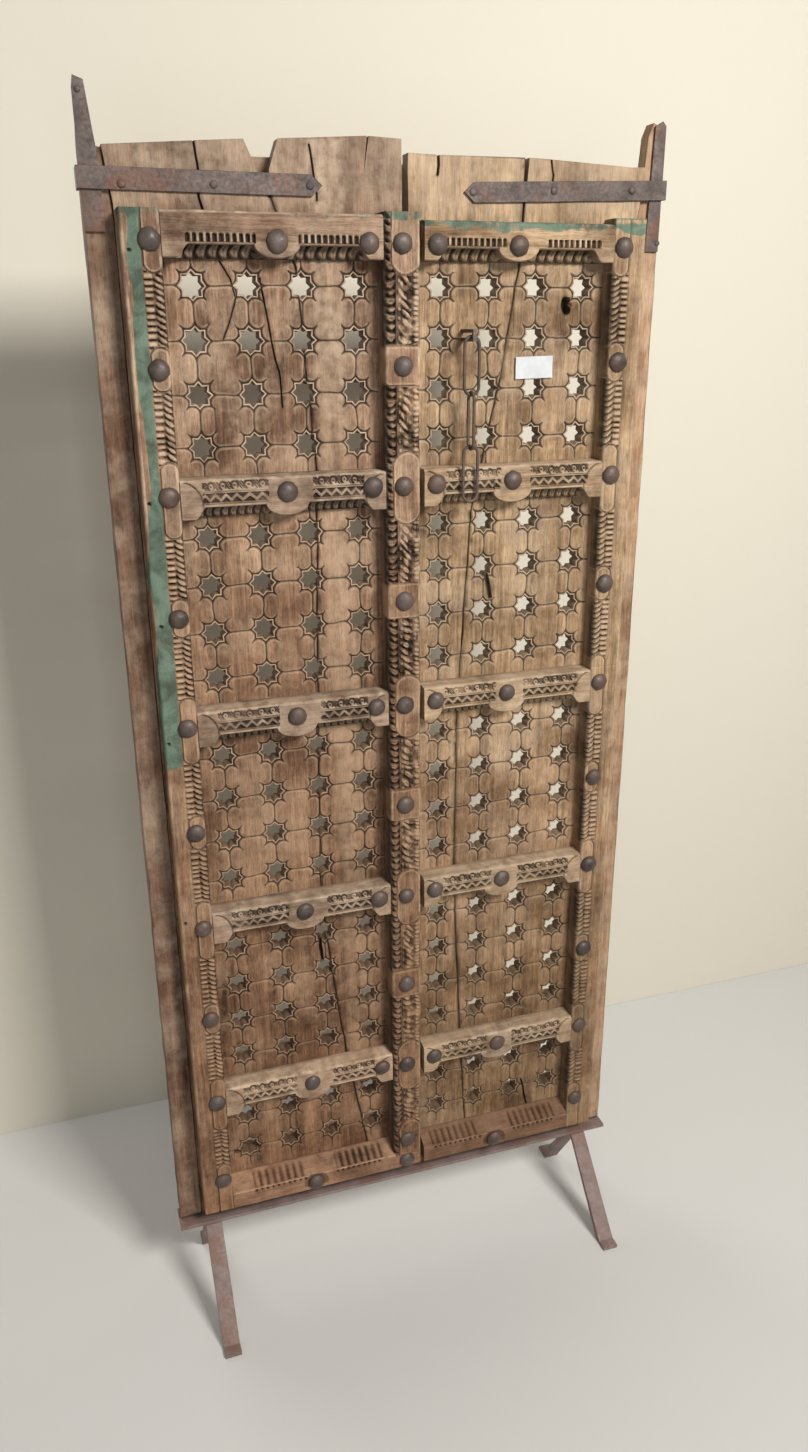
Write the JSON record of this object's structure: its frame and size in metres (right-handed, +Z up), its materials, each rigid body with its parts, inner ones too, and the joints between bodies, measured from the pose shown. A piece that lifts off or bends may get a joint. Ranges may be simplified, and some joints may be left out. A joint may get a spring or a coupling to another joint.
{
  "type": "carved double-leaf door",
  "caption": "Carved wooden double-leaf door: pierced star lattice panels, studded rails and stiles, pivot poles, hasp chain, on an open steel stand that it turns on.",
  "frame": {"origin": "centre of the footprint on the floor, under the middle of the stand's feet", "axes": "+X along the door to the viewer's right, +Y away from the viewer towards the back ledges, +Z up"},
  "size_m": [1.016, 0.352, 2.352],
  "materials": {
    "left_leaf_wood": "matt, weathered, with worn green paint",
    "right_leaf_wood": "matt, weathered",
    "pole_wood": "matt, dark",
    "forged_iron": "forged, brown with rust",
    "stand_steel": "dull primer"
  },
  "bodies": {
    "stand": {"stand_bar": "stand_steel", "left_front_leg": "stand_steel", "left_rear_leg": "stand_steel", "right_front_leg": "stand_steel", "right_rear_leg": "stand_steel"},
    "left_leaf": {"astragal": "left_leaf_wood", "left_bottom_rail": "left_leaf_wood", "left_inner_plank": "left_leaf_wood", "left_ledge_1": "left_leaf_wood", "left_ledge_2": "left_leaf_wood", "left_ledge_3": "left_leaf_wood", "left_ledge_4": "left_leaf_wood", "left_ledge_5": "left_leaf_wood", "left_ledge_6": "left_leaf_wood", "left_outer_plank": "left_leaf_wood", "left_pivot_shoe": "forged_iron", "left_pole": "pole_wood", "left_pole_iron": "forged_iron", "left_rail_1": "left_leaf_wood", "left_rail_2": "left_leaf_wood", "left_rail_3": "left_leaf_wood", "left_rail_4": "left_leaf_wood", "left_stile": "left_leaf_wood", "left_stile_foot": "left_leaf_wood", "left_strap": "forged_iron", "left_studs": "forged_iron", "left_top_rail": "left_leaf_wood"},
    "right_leaf": {"chain_staple": "forged_iron", "right_bottom_rail": "right_leaf_wood", "right_inner_plank": "right_leaf_wood", "right_ledge_1": "right_leaf_wood", "right_ledge_2": "right_leaf_wood", "right_ledge_3": "right_leaf_wood", "right_ledge_4": "right_leaf_wood", "right_ledge_5": "right_leaf_wood", "right_ledge_6": "right_leaf_wood", "right_lower_stile": "right_leaf_wood", "right_outer_plank": "right_leaf_wood", "right_pivot_shoe": "forged_iron", "right_pole": "pole_wood", "right_pole_iron": "forged_iron", "right_rail_1": "right_leaf_wood", "right_rail_2": "right_leaf_wood", "right_rail_3": "right_leaf_wood", "right_rail_4": "right_leaf_wood", "right_strap": "forged_iron", "right_studs": "forged_iron", "right_top_rail": "right_leaf_wood", "right_upper_stile": "right_leaf_wood"},
    "chain_link_1": {"chain_link_1": "forged_iron"},
    "chain_link_2": {"chain_link_2": "forged_iron"},
    "chain_link_3": {"chain_link_3": "forged_iron"}
  },
  "joints": [
    {"name": "right_leaf_swing", "type": "hinge", "parent": "stand", "child": "right_leaf", "pos_m": [0.49, 0.046, 0.188], "axis": [0, 0, -1], "range_deg": [0, 90]},
    {"name": "left_leaf_swing", "type": "hinge", "parent": "stand", "child": "left_leaf", "pos_m": [-0.49, 0.046, 0.188], "axis": [0, 0, 1], "range_deg": [0, 76.5]},
    {"name": "chain_link_1_swing", "type": "hinge", "parent": "right_leaf", "child": "chain_link_1", "pos_m": [0.123, -0.018, 1.983], "axis": [1, 0, 0], "range_deg": [-60, 0]},
    {"name": "chain_link_2_swing", "type": "hinge", "parent": "chain_link_1", "child": "chain_link_2", "pos_m": [0.123, -0.018, 1.885], "axis": [1, 0, 0], "range_deg": [-45, 0]},
    {"name": "chain_link_3_swing", "type": "hinge", "parent": "chain_link_2", "child": "chain_link_3", "pos_m": [0.123, -0.018, 1.7988], "axis": [1, 0, 0], "range_deg": [-45, 0]}
  ],
  "couplings": [
    {"joint": "left_leaf_swing", "follows": "right_leaf_swing", "ratio": 0.85}
  ]
}
